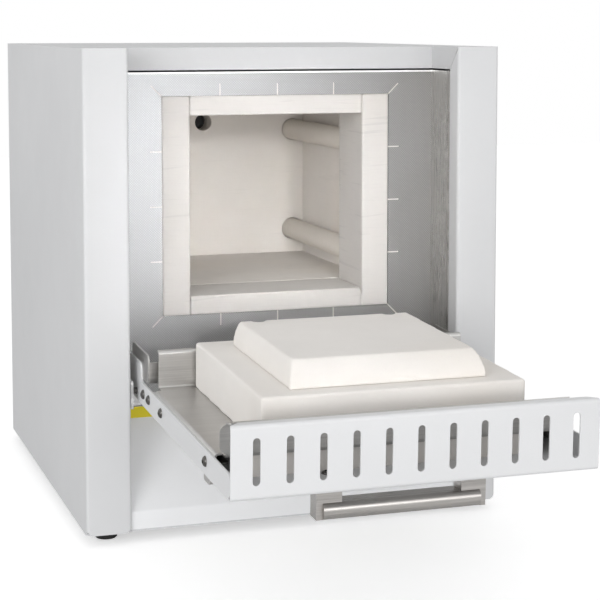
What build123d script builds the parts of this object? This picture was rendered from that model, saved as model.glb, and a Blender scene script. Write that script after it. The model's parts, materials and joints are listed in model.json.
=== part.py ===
from build123d import *
import os
from math import atan2, cos, degrees, radians, sin

# Benchtop muffle furnace with a flap door, drawn with the door let down.
# Millimetres. X runs to the right, Y to the back, Z up. The origin is on the floor,
# below the middle of the plane through the front faces of the two columns (Y = 0).
# The door's pieces are drawn with the door level, then turned about the hinge pins by
# the few degrees that the open door hangs below level.

os.makedirs("parts", exist_ok=True)

# --- driving dimensions ---------------------------------------------------------------

sheet = 2.0  # painted casing sheet, and the stainless sheet
bend = 3.0  # bend radius, on the middle surface
foot_height = 12.0
foot_radius = 13.5

# casing
casing_width = 530.0
casing_height = 580.0
casing_depth = 580.0
column_width = 55.0
column_return = 26.0  # depth of the columns' inner flanges
recess_depth = 86.0  # from the columns' faces back to the front plate
header_height = 28.6
header_gap = 2.4  # air gap between the header and the front plate
lip_height = 21.0
lip_setback = 6.0
sill_height = 118.0  # top of the slanted fascia, above the casing's bottom
sill_band = 15.5

# chamber, heights above the casing's bottom
opening_width = 227.6
opening_bottom = 269.0
opening_top = 494.6
collar_width = 300.0
collar_bottom = 245.0
collar_top = 519.3
collar_depth = 90.0
chamber_half_width = 153.5
chamber_back = 449.0
back_board = 41.0
insulation_half_width = 206.0
tube_radius = 15.0
tube_offset = 137.0
tube_heights = (304.0, 452.6)
tube_back = 540.0
flue_height = 465.0
flue_bore = 12.5
flue_radius = 15.0

# door, level, from the hinge axis
hinge_y = 13.0
hinge_height = 170.0  # above the casing's bottom
door_width = 400.0
door_hang = 2.2  # degrees below level when open
skin_drop = 10.8  # from the hinge axis down to the outer face of the skin
arm_height = 27.0
strip_height = 76.0
liner_rise = 17.5  # liner floor's underside above the hinge axis
slab_width = 296.0
slab_length = 265.0
slab_offset = 4.0  # the slab's middle, nearer the hinge than the plug's base
plug_base = (222.0, 215.0)
plug_top = (206.0, 196.0)
plug_lean = 9.0  # the top's middle, nearer the hinge than the base's
plug_height = 28.3
slot_count = 11
slot_pitch = 34.7
slot_width = 8.0
slot_length = 48.3
handle_spacing = 161.0
handle_length = 189.0
handle_reach = 44.0
pin_radius = 4.0
running_gap = 0.05
seat_gap = 0.3  # between the closed door's slab and the front plate

# --- levels and planes that follow from them --------------------------------------------

bottom = foot_height
top = bottom + casing_height
half_width = casing_width / 2
inner_half = half_width - column_width
side_inner = half_width - sheet
back = casing_depth
rear_sheet = back - 2 * sheet
hinge_z = bottom + hinge_height
hinge_axis = Axis((0, hinge_y, hinge_z), (1, 0, 0))
header_bottom = top - header_height
plate_top = header_bottom - header_gap
plate_bottom = bottom + sill_height + sill_band + 17
plate_back = recess_depth + sheet
sill_z = bottom + sill_height
collar_back = recess_depth + collar_depth
jacket_bottom = plate_bottom
jacket_top = plate_top - 1
insulation_bottom = jacket_bottom + sheet
insulation_top = jacket_top - sheet
insulation_back = chamber_back + back_board
jacket_back = insulation_back + sheet

skin_z = hinge_z - skin_drop
strip_y = hinge_y - (top - hinge_z)
strip_top = skin_z + strip_height
arm_top = skin_z + arm_height
door_half = door_width / 2
liner_z = hinge_z + liner_rise
slab_z = liner_z + sheet
slab_top = hinge_z + recess_depth - seat_gap - hinge_y
chamber_middle = bottom + (opening_bottom + opening_top) / 2
slab_y = hinge_y - (chamber_middle - hinge_z)


def export(piece, name):
    """Writes a piece of the housing."""
    piece.part.label = name
    export_step(piece.part, f"parts/{name}.step")


def export_door(piece, name):
    """Writes a piece of the door, let down from level to where the open door hangs."""
    hung = piece.part.rotate(hinge_axis, door_hang)
    hung.label = name
    export_step(hung, f"parts/{name}.step")


# --- casing -----------------------------------------------------------------------------

column_corner = 6.0
rear_flange = 18.0
mitre_low = (column_return, header_bottom)
mitre_high = (sheet, top - 2 * sheet)

# Each side is one folded sheet: rear flange, side, column front and the column's return.
with BuildPart() as side_panel_right:
    with BuildSketch(Plane.XY.offset(bottom)):
        with BuildLine():
            FilletPolyline(
                (inner_half + sheet / 2, column_return),
                (inner_half + sheet / 2, sheet / 2),
                (half_width - sheet / 2, sheet / 2),
                (half_width - sheet / 2, back - sheet / 2),
                (half_width - rear_flange, back - sheet / 2),
                radius=bend,
            )
        trace(line_width=sheet)
    extrude(amount=casing_height)
    # the return is mitred where the header's cheek meets it
    with BuildSketch(Plane.YZ.offset(inner_half)):
        with BuildLine():
            Polyline(mitre_low, (column_return, top), (sheet, top), mitre_high, close=True)
        make_face()
    extrude(amount=sheet, mode=Mode.SUBTRACT)
    # the column's lower corners are clipped
    with BuildSketch(Plane.XZ):
        for corner_x, inward in ((inner_half, 1), (half_width, -1)):
            with BuildLine():
                Polyline(
                    (corner_x, bottom),
                    (corner_x + inward * column_corner, bottom),
                    (corner_x, bottom + column_corner),
                    close=True,
                )
            make_face()
    extrude(amount=-2 * bend, mode=Mode.SUBTRACT)
export(side_panel_right, "side_panel_right")

with BuildPart() as side_panel_left:
    mirror(side_panel_right.part, about=Plane.YZ)
export(side_panel_left, "side_panel_left")

# The cover's front edge folds down into the header, and its ends fold forward as cheeks.
mitre_line = 0.8
column_edge = sheet + 0.3
with BuildPart() as top_cover:
    with BuildSketch(Plane.XY.offset(top - sheet)) as cover_outline:
        with Locations((0, (column_edge + back - sheet) / 2)):
            Rectangle(2 * side_inner, back - sheet - column_edge)
        with Locations((0, (column_edge + recess_depth) / 2)):
            Rectangle(2 * inner_half, recess_depth - column_edge, mode=Mode.SUBTRACT)
        corner_rows = cover_outline.vertices().group_by(Axis.Y)
        chamfer(corner_rows[0] + corner_rows[-1], length=2 * sheet)
    extrude(amount=sheet)
    with BuildSketch(Plane.YZ):
        with Locations((recess_depth + sheet / 2, (header_bottom + top) / 2)):
            Rectangle(sheet, header_height)
    extrude(amount=inner_half, both=True)
    fold = top_cover.edges().filter_by(Axis.X).group_by(Axis.Z)[-1].sort_by(Axis.Y)
    fillet([edge for edge in fold if abs(edge.center().Y - recess_depth) < 0.1], radius=1.8)
    with BuildSketch(Plane.YZ.offset(inner_half)):
        with BuildLine():
            Polyline(
                (plate_back, header_bottom),
                (column_return + mitre_line, header_bottom),
                (column_edge + mitre_line, top - 1.4 * sheet),
                (column_edge + mitre_line, top),
                (plate_back, top),
                close=True,
            )
        make_face()
    header_cheek = extrude(amount=sheet)
    mirror(header_cheek, about=Plane.YZ)
export(top_cover, "top_cover")

# Rear wall with louvre slots above and below, the flue's hole and the mains inlet's hole.
flue_z = bottom + flue_height
gland_x = -200.0
gland_z = bottom + 48.0
gland_hole = 8.0
rear_slot_rows = (bottom + 112.0, top - 48.0)
with BuildPart() as rear_panel:
    with BuildSketch(Plane.XZ.offset(-rear_sheet)):
        with Locations((0, (bottom + top) / 2)):
            Rectangle(2 * (side_inner - bend), casing_height - 2 * sheet)
        for row_z in rear_slot_rows:
            with Locations((0, row_z)):
                with GridLocations(26, 0, 15, 1):
                    Rectangle(5, 40, mode=Mode.SUBTRACT)
        with Locations((0, flue_z)):
            Circle(flue_radius + running_gap, mode=Mode.SUBTRACT)
        with Locations((gland_x, gland_z)):
            Circle(gland_hole + running_gap, mode=Mode.SUBTRACT)
    extrude(amount=-sheet)
export(rear_panel, "rear_panel")

# Floor pan of the electrics bay, with air slots.
with BuildPart() as base_pan:
    with BuildSketch(Plane.XY.offset(bottom)):
        with Locations((0, (lip_setback + rear_sheet) / 2)):
            Rectangle(2 * inner_half, rear_sheet - lip_setback)
        with Locations((0, (sheet + bend + rear_sheet) / 2)):
            Rectangle(2 * side_inner, rear_sheet - sheet - bend)
        with GridLocations(2 * inner_half + sheet, 0, 2, 1):
            Rectangle(sheet + 0.2, 2 * column_return + 0.2, mode=Mode.SUBTRACT)
        with Locations((0, 0.6 * back)):
            with GridLocations(24, 0, 12, 1):
                Rectangle(6, 120, mode=Mode.SUBTRACT)
    extrude(amount=sheet)
export(base_pan, "base_pan")

# The fascia rises from the front lip, slants back to the sill and ends in an upright.
lip_top = bottom + lip_height + sheet
fascia_y = lip_setback + sheet / 2
sill_y = recess_depth + sheet / 2
slope = degrees(atan2(sill_z - lip_top, sill_y - fascia_y))
slope_y = cos(radians(slope))
slope_z = sin(radians(slope))
fascia_plane = Plane(
    origin=(
        0,
        (fascia_y + sill_y - sheet * slope_z) / 2,
        (lip_top + sill_z + sheet * slope_y) / 2,
    ),
    x_dir=(1, 0, 0),
    z_dir=(0, -slope_z, slope_y),
)
fascia_out = Axis(fascia_plane.origin, fascia_plane.z_dir)
controller_x = 88.0
controller_size = (150.0, 78.0)
bezel_rim = 4.0
switch_x = 184.0
switch_size = (25.0, 33.0)
with BuildPart() as control_fascia:
    with BuildSketch(Plane.YZ):
        with BuildLine():
            FilletPolyline(
                (fascia_y, bottom + sheet),
                (fascia_y, lip_top),
                (sill_y, sill_z),
                (sill_y, sill_z + sill_band),
                radius=bend,
            )
        trace(line_width=sheet)
    extrude(amount=inner_half, both=True)
    with BuildSketch(fascia_plane):
        with Locations((controller_x, 0)):
            Rectangle(controller_size[0] - 2 * bezel_rim, controller_size[1] - 2 * bezel_rim)
        with Locations((switch_x, 0)):
            Rectangle(switch_size[0] - 4, switch_size[1] - 4)
    extrude(amount=-4 * sheet, mode=Mode.SUBTRACT)
export(control_fascia, "control_fascia")

# Plain coloured band along the upright of the sill.
with BuildPart() as sill_strip:
    with BuildSketch(Plane.XZ.offset(-recess_depth)):
        with Locations((0, sill_z + sill_band / 2 + 0.6)):
            Rectangle(2 * inner_half - 2, sill_band - 1.6)
    extrude(amount=0.4)
export(sill_strip, "sill_strip")

# Channel between the sill and the front plate.
rail_depth = 20.0
rail_bottom = sill_z + sill_band + 3
with BuildPart() as front_rail:
    with BuildSketch(Plane.YZ):
        with BuildLine():
            FilletPolyline(
                (recess_depth + rail_depth, rail_bottom + sheet / 2),
                (sill_y, rail_bottom + sheet / 2),
                (sill_y, plate_bottom - sheet / 2),
                (recess_depth + rail_depth, plate_bottom - sheet / 2),
                radius=bend,
            )
        trace(line_width=sheet)
    extrude(amount=inner_half, both=True)
export(front_rail, "front_rail")

# Stainless front plate, slit around the collar so that it can expand when hot.
slit_width = 1.6
slit_length = 14.0
corner_slit = 20.0
collar_middle = bottom + (collar_bottom + collar_top) / 2
collar_height = collar_top - collar_bottom
with BuildPart() as front_plate:
    with BuildSketch(Plane.XZ.offset(-recess_depth)):
        with Locations((0, (plate_bottom + plate_top) / 2)):
            Rectangle(2 * inner_half, plate_top - plate_bottom)
        with Locations((0, collar_middle)):
            Rectangle(collar_width, collar_height, mode=Mode.SUBTRACT)
            with GridLocations(collar_width / 4, collar_height + slit_length, 3, 2):
                Rectangle(slit_width, slit_length + 2, mode=Mode.SUBTRACT)
            with GridLocations(collar_width + slit_length, collar_height / 4, 2, 3):
                Rectangle(slit_length + 2, slit_width, mode=Mode.SUBTRACT)
            for side_x in (-1, 1):
                for side_z in (-1, 1):
                    reach = corner_slit / 2 * cos(radians(45)) - 1
                    with Locations(
                        (side_x * (collar_width / 2 + reach), side_z * (collar_height / 2 + reach))
                    ):
                        Rectangle(
                            corner_slit, slit_width, rotation=45 * side_x * side_z,
                            mode=Mode.SUBTRACT,
                        )
    extrude(amount=-sheet)
export(front_plate, "front_plate")

# Stainless cheeks between the columns and the front plate, with a joggle near the column.
joggle_y = column_return + 7
with BuildPart() as cheek_right:
    with BuildSketch(Plane.YZ.offset(inner_half)):
        with Locations(((column_return + 0.4 + plate_back) / 2, (bottom + sheet + plate_top) / 2)):
            Rectangle(plate_back - column_return - 0.4, plate_top - bottom - sheet)
    extrude(amount=sheet)
    with BuildSketch(Plane.XY.offset(bottom)):
        with Locations((inner_half, joggle_y)):
            Rectangle(1.6, 1.2)
    extrude(amount=casing_height, mode=Mode.SUBTRACT)
export(cheek_right, "cheek_right")

with BuildPart() as cheek_left:
    mirror(cheek_right.part, about=Plane.YZ)
export(cheek_left, "cheek_left")

# --- chamber ------------------------------------------------------------------------------

opening_half = opening_width / 2
collar_half = collar_width / 2
joint = 0.2  # hairline between the fibre pieces


def collar_piece(low_x, high_x, low_z, high_z):
    """One straight bar of the fibre collar, with its front edges just broken."""
    with BuildPart() as bar:
        with BuildSketch(Plane.XZ.offset(-recess_depth)):
            with Locations(((low_x + high_x) / 2, bottom + (low_z + high_z) / 2)):
                Rectangle(high_x - low_x, high_z - low_z)
        extrude(amount=-collar_depth)
        chamfer(bar.faces().sort_by(Axis.Y)[0].edges(), length=0.6)
    return bar


export(collar_piece(-collar_half, -opening_half, collar_bottom, collar_top), "collar_left")
export(collar_piece(opening_half, collar_half, collar_bottom, collar_top), "collar_right")
inner_span = opening_half - joint / 2
export(collar_piece(-inner_span, inner_span, opening_top, collar_top), "collar_top")
export(collar_piece(-inner_span, inner_span, collar_bottom, opening_bottom), "collar_bottom")


def stepped_board(outer_z, collar_z, chamber_z):
    """Section of the floor or roof board: rebated in front for the collar."""
    with BuildPart() as board:
        with BuildSketch(Plane.YZ):
            with BuildLine():
                Polyline(
                    (plate_back, outer_z),
                    (chamber_back, outer_z),
                    (chamber_back, bottom + chamber_z),
                    (collar_back, bottom + chamber_z),
                    (collar_back, bottom + collar_z),
                    (plate_back, bottom + collar_z),
                    close=True,
                )
            make_face()
        extrude(amount=insulation_half_width, both=True)
    return board


export(stepped_board(insulation_bottom, collar_bottom, opening_bottom), "insulation_floor")

thermocouple_y = 250.0
thermocouple_hole = 4.0
with BuildPart() as insulation_roof:
    add(stepped_board(insulation_top, collar_top, opening_top).part)
    with BuildSketch(Plane.XY.offset(insulation_top)):
        with Locations((0, thermocouple_y)):
            Circle(thermocouple_hole)
    extrude(amount=-casing_height / 4, mode=Mode.SUBTRACT)
export(insulation_roof, "insulation_roof")

with BuildPart() as insulation_right:
    with BuildSketch(Plane.XY.offset(bottom + opening_bottom)):
        with BuildLine():
            Polyline(
                (insulation_half_width, collar_back),
                (insulation_half_width, chamber_back),
                (chamber_half_width, chamber_back),
                (chamber_half_width, collar_back),
                close=True,
            )
        make_face()
    extrude(amount=opening_top - opening_bottom)
    with BuildSketch(Plane.XY.offset(bottom + collar_bottom)):
        with BuildLine():
            Polyline(
                (insulation_half_width, plate_back),
                (insulation_half_width, collar_back),
                (collar_half, collar_back),
                (collar_half, plate_back),
                close=True,
            )
        make_face()
    extrude(amount=collar_top - collar_bottom)
export(insulation_right, "insulation_right")

with BuildPart() as insulation_left:
    mirror(insulation_right.part, about=Plane.YZ)
export(insulation_left, "insulation_left")

tube_places = [(x, bottom + z) for x in (-tube_offset, tube_offset) for z in tube_heights]
tube_hole = tube_radius + 1.2
with BuildPart() as insulation_rear:
    with BuildSketch(Plane.XZ.offset(-chamber_back)):
        with Locations((0, (insulation_bottom + insulation_top) / 2)):
            Rectangle(2 * insulation_half_width, insulation_top - insulation_bottom)
        with Locations(*tube_places):
            Circle(tube_hole, mode=Mode.SUBTRACT)
        with Locations((0, flue_z)):
            Circle(flue_bore, mode=Mode.SUBTRACT)
    extrude(amount=-back_board)
export(insulation_rear, "insulation_rear")

# Ceramic tubes that carry the heating elements, two on each side of the chamber.
tube_bore = 9.5
for side, x in (("left", -tube_offset), ("right", tube_offset)):
    for level, height in zip(("lower", "upper"), tube_heights):
        with BuildPart() as heater_tube:
            with BuildSketch(Plane.XZ.offset(-collar_back)):
                with Locations((x, bottom + height)):
                    Circle(tube_radius)
                    Circle(tube_bore, mode=Mode.SUBTRACT)
            extrude(amount=-(tube_back - collar_back))
        export(heater_tube, f"heater_tube_{side}_{level}")

element_radius = 6.0
element_front = collar_back + 6
cap_length = 14.0
with BuildPart() as heating_elements:
    with BuildSketch(Plane.XZ.offset(-element_front)):
        with Locations(*tube_places):
            Circle(element_radius)
    extrude(amount=-(tube_back + cap_length + 10 - element_front))
export(heating_elements, "heating_elements")

with BuildPart() as element_end_caps:
    with BuildSketch(Plane.XZ.offset(-tube_back)):
        with Locations(*tube_places):
            Circle(tube_radius + 1)
            Circle(element_radius + running_gap, mode=Mode.SUBTRACT)
    extrude(amount=-cap_length)
export(element_end_caps, "element_end_caps")

# Sheet jacket that holds the insulation, open to the front.
with BuildPart() as inner_jacket:
    with BuildSketch(Plane.XZ.offset(-plate_back)):
        with Locations((0, (jacket_bottom + jacket_top) / 2)):
            Rectangle(2 * (insulation_half_width + sheet), jacket_top - jacket_bottom)
    extrude(amount=-(jacket_back - plate_back))
    with BuildSketch(Plane.XZ.offset(-plate_back)):
        with Locations((0, (jacket_bottom + jacket_top) / 2)):
            Rectangle(2 * insulation_half_width, insulation_top - insulation_bottom)
    extrude(amount=-(insulation_back - plate_back), mode=Mode.SUBTRACT)
    with BuildSketch(Plane.XZ.offset(-insulation_back)):
        with Locations(*tube_places):
            Circle(tube_radius + running_gap)
        with Locations((0, flue_z)):
            Circle(flue_radius + running_gap)
    extrude(amount=-sheet, mode=Mode.SUBTRACT)
    with BuildSketch(Plane.XY.offset(jacket_top)):
        with Locations((0, thermocouple_y)):
            Circle(thermocouple_hole)
    extrude(amount=-sheet, mode=Mode.SUBTRACT)
export(inner_jacket, "inner_jacket")

# Thermocouple: a ceramic sheath through the roof, with its head on the jacket.
with BuildPart() as thermocouple:
    with BuildSketch(Plane.XY.offset(bottom + opening_top - 10)):
        with Locations((0, thermocouple_y)):
            Circle(thermocouple_hole - 1)
    extrude(amount=jacket_top - bottom - opening_top + 10)
    with BuildSketch(Plane.XY.offset(jacket_top)):
        with Locations((0, thermocouple_y)):
            Circle(9)
    extrude(amount=18)
    chamfer(thermocouple.faces().sort_by(Axis.Z)[-1].edges(), length=1.5)
export(thermocouple, "thermocouple")

# Flue: a short tube from the chamber's back board out through the rear panel.
flue_end = back + 25.0
flue_flange = 24.0
with BuildPart() as flue_spigot:
    with BuildSketch(Plane.XZ.offset(-insulation_back)):
        with Locations((0, flue_z)):
            Circle(flue_radius)
            Circle(flue_bore, mode=Mode.SUBTRACT)
    extrude(amount=-(flue_end - insulation_back))
    with BuildSketch(Plane.XZ.offset(-(back - sheet))):
        with Locations((0, flue_z)):
            Circle(flue_flange)
            Circle(flue_radius, mode=Mode.SUBTRACT)
    extrude(amount=-sheet)
export(flue_spigot, "flue_spigot")

# --- electrics bay ---------------------------------------------------------------------------

bay_floor = bottom + sheet
support_y = (140.0, 480.0)
support_height = jacket_bottom - bay_floor
with BuildPart() as jacket_supports:
    for support_x in (-150.0, 150.0):
        with BuildSketch(Plane.XZ.offset(-support_y[0])):
            with BuildLine():
                FilletPolyline(
                    (support_x - 16, bay_floor + sheet / 2),
                    (support_x, bay_floor + sheet / 2),
                    (support_x, jacket_bottom - sheet / 2),
                    (support_x + 16, jacket_bottom - sheet / 2),
                    radius=bend,
                )
            trace(line_width=sheet)
        extrude(amount=-(support_y[1] - support_y[0]))
export(jacket_supports, "jacket_supports")

with BuildPart() as heat_sink:
    with BuildSketch(Plane.XZ.offset(-360)):
        with Locations((0, bay_floor)):
            Rectangle(100, 6, align=(Align.CENTER, Align.MIN))
            with GridLocations(12, 0, 9, 1):
                Rectangle(2, 40, align=(Align.CENTER, Align.MIN))
    extrude(amount=-80)
export(heat_sink, "heat_sink")

with BuildPart() as solid_state_relay:
    with BuildSketch(Plane.XY.offset(bay_floor + 40)):
        with Locations((0, 400)):
            RectangleRounded(45, 58, 3)
    extrude(amount=26)
    chamfer(solid_state_relay.faces().sort_by(Axis.Z)[-1].edges(), length=1.5)
export(solid_state_relay, "solid_state_relay")

with BuildPart() as terminal_block:
    with BuildSketch(Plane.XY.offset(bay_floor)):
        with Locations((-90, 500)):
            Rectangle(70, 24)
    extrude(amount=26)
    with BuildSketch(Plane.XY.offset(bay_floor + 26)):
        with Locations((-90, 500)):
            with GridLocations(11, 0, 6, 1):
                Circle(3)
    extrude(amount=-8, mode=Mode.SUBTRACT)
export(terminal_block, "terminal_block")

# Mains inlet: a cable gland with a hexagon, a domed nut and a through bore.
gland_bore = 4.5
with BuildPart() as cable_gland:
    with BuildSketch(Plane.XZ.offset(-(back - sheet))):
        with Locations((gland_x, gland_z)):
            RegularPolygon(12.5, 6)
    extrude(amount=-6)
    with BuildSketch(Plane.XZ.offset(-(back - sheet + 6))):
        with Locations((gland_x, gland_z)):
            Circle(10.5)
    extrude(amount=-14)
    chamfer(cable_gland.faces().sort_by(Axis.Y)[-1].edges(), length=3)
    with BuildSketch(Plane.XZ.offset(-(rear_sheet - 8))):
        with Locations((gland_x, gland_z)):
            Circle(gland_hole)
    extrude(amount=-(sheet + 8))
    with BuildSketch(Plane.XZ.offset(-(rear_sheet - 8))):
        with Locations((gland_x, gland_z)):
            Circle(gland_bore)
    extrude(amount=-60, mode=Mode.SUBTRACT)
export(cable_gland, "cable_gland")

# Controller: a box behind the fascia, a bezel in front, a window and a membrane keypad.
bezel_height = 4.0
window_size = (78.0, 44.0)
window_place = (controller_x - 28, 6.0)
keypad_place = (controller_x + 44, 6.0)
keypad_size = (46.0, 44.0)
with BuildPart() as controller_housing:
    with BuildSketch(fascia_plane):
        with Locations((controller_x, 0)):
            RectangleRounded(controller_size[0], controller_size[1], 5)
    extrude(amount=bezel_height)
    chamfer(controller_housing.faces().sort_by(fascia_out)[-1].edges(), length=1.2)
    with BuildSketch(fascia_plane):
        with Locations((controller_x, 0)):
            Rectangle(controller_size[0] - 10, controller_size[1] - 10)
    extrude(amount=-32)
    with BuildSketch(fascia_plane.offset(bezel_height)):
        with Locations(window_place):
            Rectangle(*window_size)
        with Locations(keypad_place):
            Rectangle(*keypad_size)
    extrude(amount=-1.2, mode=Mode.SUBTRACT)
export(controller_housing, "controller_housing")

with BuildPart() as display_window:
    with BuildSketch(fascia_plane.offset(bezel_height - 1.2)):
        with Locations(window_place):
            Rectangle(window_size[0] - 0.4, window_size[1] - 0.4)
    extrude(amount=1)
export(display_window, "display_window")

with BuildPart() as membrane_keypad:
    with BuildSketch(fascia_plane.offset(bezel_height - 1.2)):
        with Locations(keypad_place):
            Rectangle(keypad_size[0] - 0.4, keypad_size[1] - 0.4)
    extrude(amount=0.9)
    with BuildSketch(fascia_plane.offset(bezel_height - 0.3)):
        with Locations(keypad_place):
            with GridLocations(14, 13, 3, 3):
                Rectangle(10, 9)
    extrude(amount=0.5)
export(membrane_keypad, "membrane_keypad")

# Mains switch: a frame let into the fascia and a rocker on two stub pins.
switch_frame_height = 3.0
rocker_width = 15.0
rocker_reach = 11.6  # pivot to either end of the rocker
rocker_gap = 0.4
stub_radius = 1.5
rocker_tilt = 8.0
pivot_depth = 1.0  # pivot below the fascia's outer face
switch_plane = fascia_plane.offset(-pivot_depth)
rocker_pivot = switch_plane.from_local_coords((switch_x, 0, 0))
with BuildPart() as mains_switch_frame:
    with BuildSketch(fascia_plane):
        with Locations((switch_x, 0)):
            RectangleRounded(switch_size[0], switch_size[1], 2)
    extrude(amount=switch_frame_height)
    chamfer(mains_switch_frame.faces().sort_by(fascia_out)[-1].edges(), length=0.8)
    with BuildSketch(fascia_plane):
        with Locations((switch_x, 0)):
            Rectangle(switch_size[0] - 4, switch_size[1] - 4)
    extrude(amount=-22)
    with BuildSketch(fascia_plane.offset(switch_frame_height)):
        with Locations((switch_x, 0)):
            Rectangle(rocker_width + 2 * rocker_gap, 2 * (rocker_reach + rocker_gap))
    extrude(amount=-16, mode=Mode.SUBTRACT)
    with BuildSketch(Plane(rocker_pivot, x_dir=switch_plane.y_dir, z_dir=(1, 0, 0))):
        Circle(stub_radius + running_gap)
    extrude(amount=rocker_width / 2 + 1.6, both=True, mode=Mode.SUBTRACT)
export(mains_switch_frame, "mains_switch_frame")

# The rocker's top is a shallow V, and its ends are arcs about the pivot.
rocker_side = Plane(rocker_pivot, x_dir=switch_plane.y_dir, z_dir=(1, 0, 0))
with BuildPart() as mains_switch_rocker:
    with BuildSketch(rocker_side) as rocker_section:
        Circle(rocker_reach)
        with BuildLine():
            Polyline(
                (-20, -3.0), (20, -3.0), (20, 7.6), (0, 4.0), (-20, 7.6), close=True
            )
        make_face(mode=Mode.INTERSECT)
    extrude(amount=rocker_width / 2, both=True)
    with BuildSketch(rocker_side):
        Circle(stub_radius)
    extrude(amount=rocker_width / 2 + 1.2, both=True)
rocker_off = mains_switch_rocker.part.rotate(Axis(rocker_pivot, (1, 0, 0)), rocker_tilt)
rocker_off.label = "mains_switch_rocker"
export_step(rocker_off, "parts/mains_switch_rocker.step")

# --- feet and rear screws --------------------------------------------------------------------

foot_places = ((-235.0, 34.0), (183.0, 34.0), (-235.0, 540.0), (235.0, 540.0))
with BuildPart() as feet:
    with BuildSketch():
        with Locations(*foot_places):
            Circle(foot_radius)
    extrude(amount=foot_height)
    chamfer(feet.faces().group_by(Axis.Z)[0].edges(), length=1.5)
export(feet, "feet")

rear_screw_x = side_inner - 10
with BuildPart() as rear_screws:
    with BuildSketch(Plane.XZ.offset(-back)):
        with Locations((0, (bottom + top) / 2)):
            with GridLocations(2 * rear_screw_x, casing_height / 2 - 30, 2, 3):
                Circle(4.5)
    extrude(amount=-2.6)
    chamfer(rear_screws.faces().group_by(Axis.Y)[-1].edges(), length=0.9)
export(rear_screws, "rear_screws")

# --- hinges ------------------------------------------------------------------------------------

# A plate on each column's return carries the hinge pin. Its lower tab is the door's stop:
# the arm's lower edge comes to rest on it when the door is down.
tail_reach = 44.0  # hinge axis to the arm's rear edge
bracket_sheet = 3.0
bracket_inner = inner_half - bracket_sheet
bracket_front = 0.5
hang = radians(door_hang)
tab_rear = hinge_y - skin_drop - seat_gap
tab_middle = (bracket_front + tab_rear) / 2
tab_top = hinge_z - skin_drop * cos(hang) - (hinge_y - tab_middle) * sin(hang) - seat_gap
with BuildPart() as hinge_bracket_right:
    with BuildSketch(Plane.YZ.offset(bracket_inner)) as bracket_outline:
        with BuildLine():
            Polyline(
                (bracket_front, tab_top - 8),
                (bracket_front, hinge_z + 14),
                (hinge_y + 22, hinge_z + 14),
                (hinge_y + 22, tab_top - 8),
                close=True,
            )
        make_face()
        fillet(bracket_outline.vertices().group_by(Axis.Y)[-1], radius=5)
    extrude(amount=bracket_sheet)
    with BuildSketch(Plane.YZ.offset(door_half - sheet)):
        with Locations(((bracket_front + tab_rear) / 2, tab_top - sheet)):
            Rectangle(tab_rear - bracket_front, 2 * sheet)
    extrude(amount=bracket_inner - door_half + sheet)
    with BuildSketch(Plane.YZ.offset(bracket_inner)):
        with Locations((hinge_y, hinge_z)):
            Circle(pin_radius + running_gap)
    extrude(amount=column_width, mode=Mode.SUBTRACT)
export(hinge_bracket_right, "hinge_bracket_right")

pin_head = 3.5
pin_head_radius = 7.0
head_face = door_half - sheet - seat_gap
with BuildPart() as hinge_pin_right:
    with BuildSketch(Plane.YZ.offset(head_face - pin_head)):
        with Locations((hinge_y, hinge_z)):
            Circle(pin_head_radius)
    extrude(amount=pin_head)
    with BuildSketch(Plane.YZ.offset(head_face)):
        with Locations((hinge_y, hinge_z)):
            Circle(pin_radius)
    extrude(amount=inner_half - head_face)
export(hinge_pin_right, "hinge_pin_right")

for part_right, name in (
    (hinge_bracket_right, "hinge_bracket_left"),
    (hinge_pin_right, "hinge_pin_left"),
):
    with BuildPart() as part_left:
        mirror(part_right.part, about=Plane.YZ)
    export(part_left, name)

# Switch that cuts the heating when the door opens, inside the right column.
with BuildPart() as door_switch:
    with BuildSketch(Plane.YZ.offset(inner_half + sheet)):
        with Locations((60, hinge_z + 30)):
            RectangleRounded(28, 50, 3)
    extrude(amount=18)
export(door_switch, "door_switch")

# --- door ------------------------------------------------------------------------------------------

skin_rear = hinge_y - 6
handle_y = strip_y + 59
tail_front = -8.0
tail_top = hinge_z + 38
lip_depth = 12.0
screw_radius = 2.5
screw_places = (-22.0, -49.0, -109.0, -303.0)
screw_z = skin_z + arm_height / 2 + 1
slide_x = -180.0
slide_y = -244.0
slide_travel = 25.0
tab_width = 6.0
tab_length = 24.0
air_slot = (16.0, 3.0)
air_slot_places = (slide_y + 22, slide_y + 29)

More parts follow.
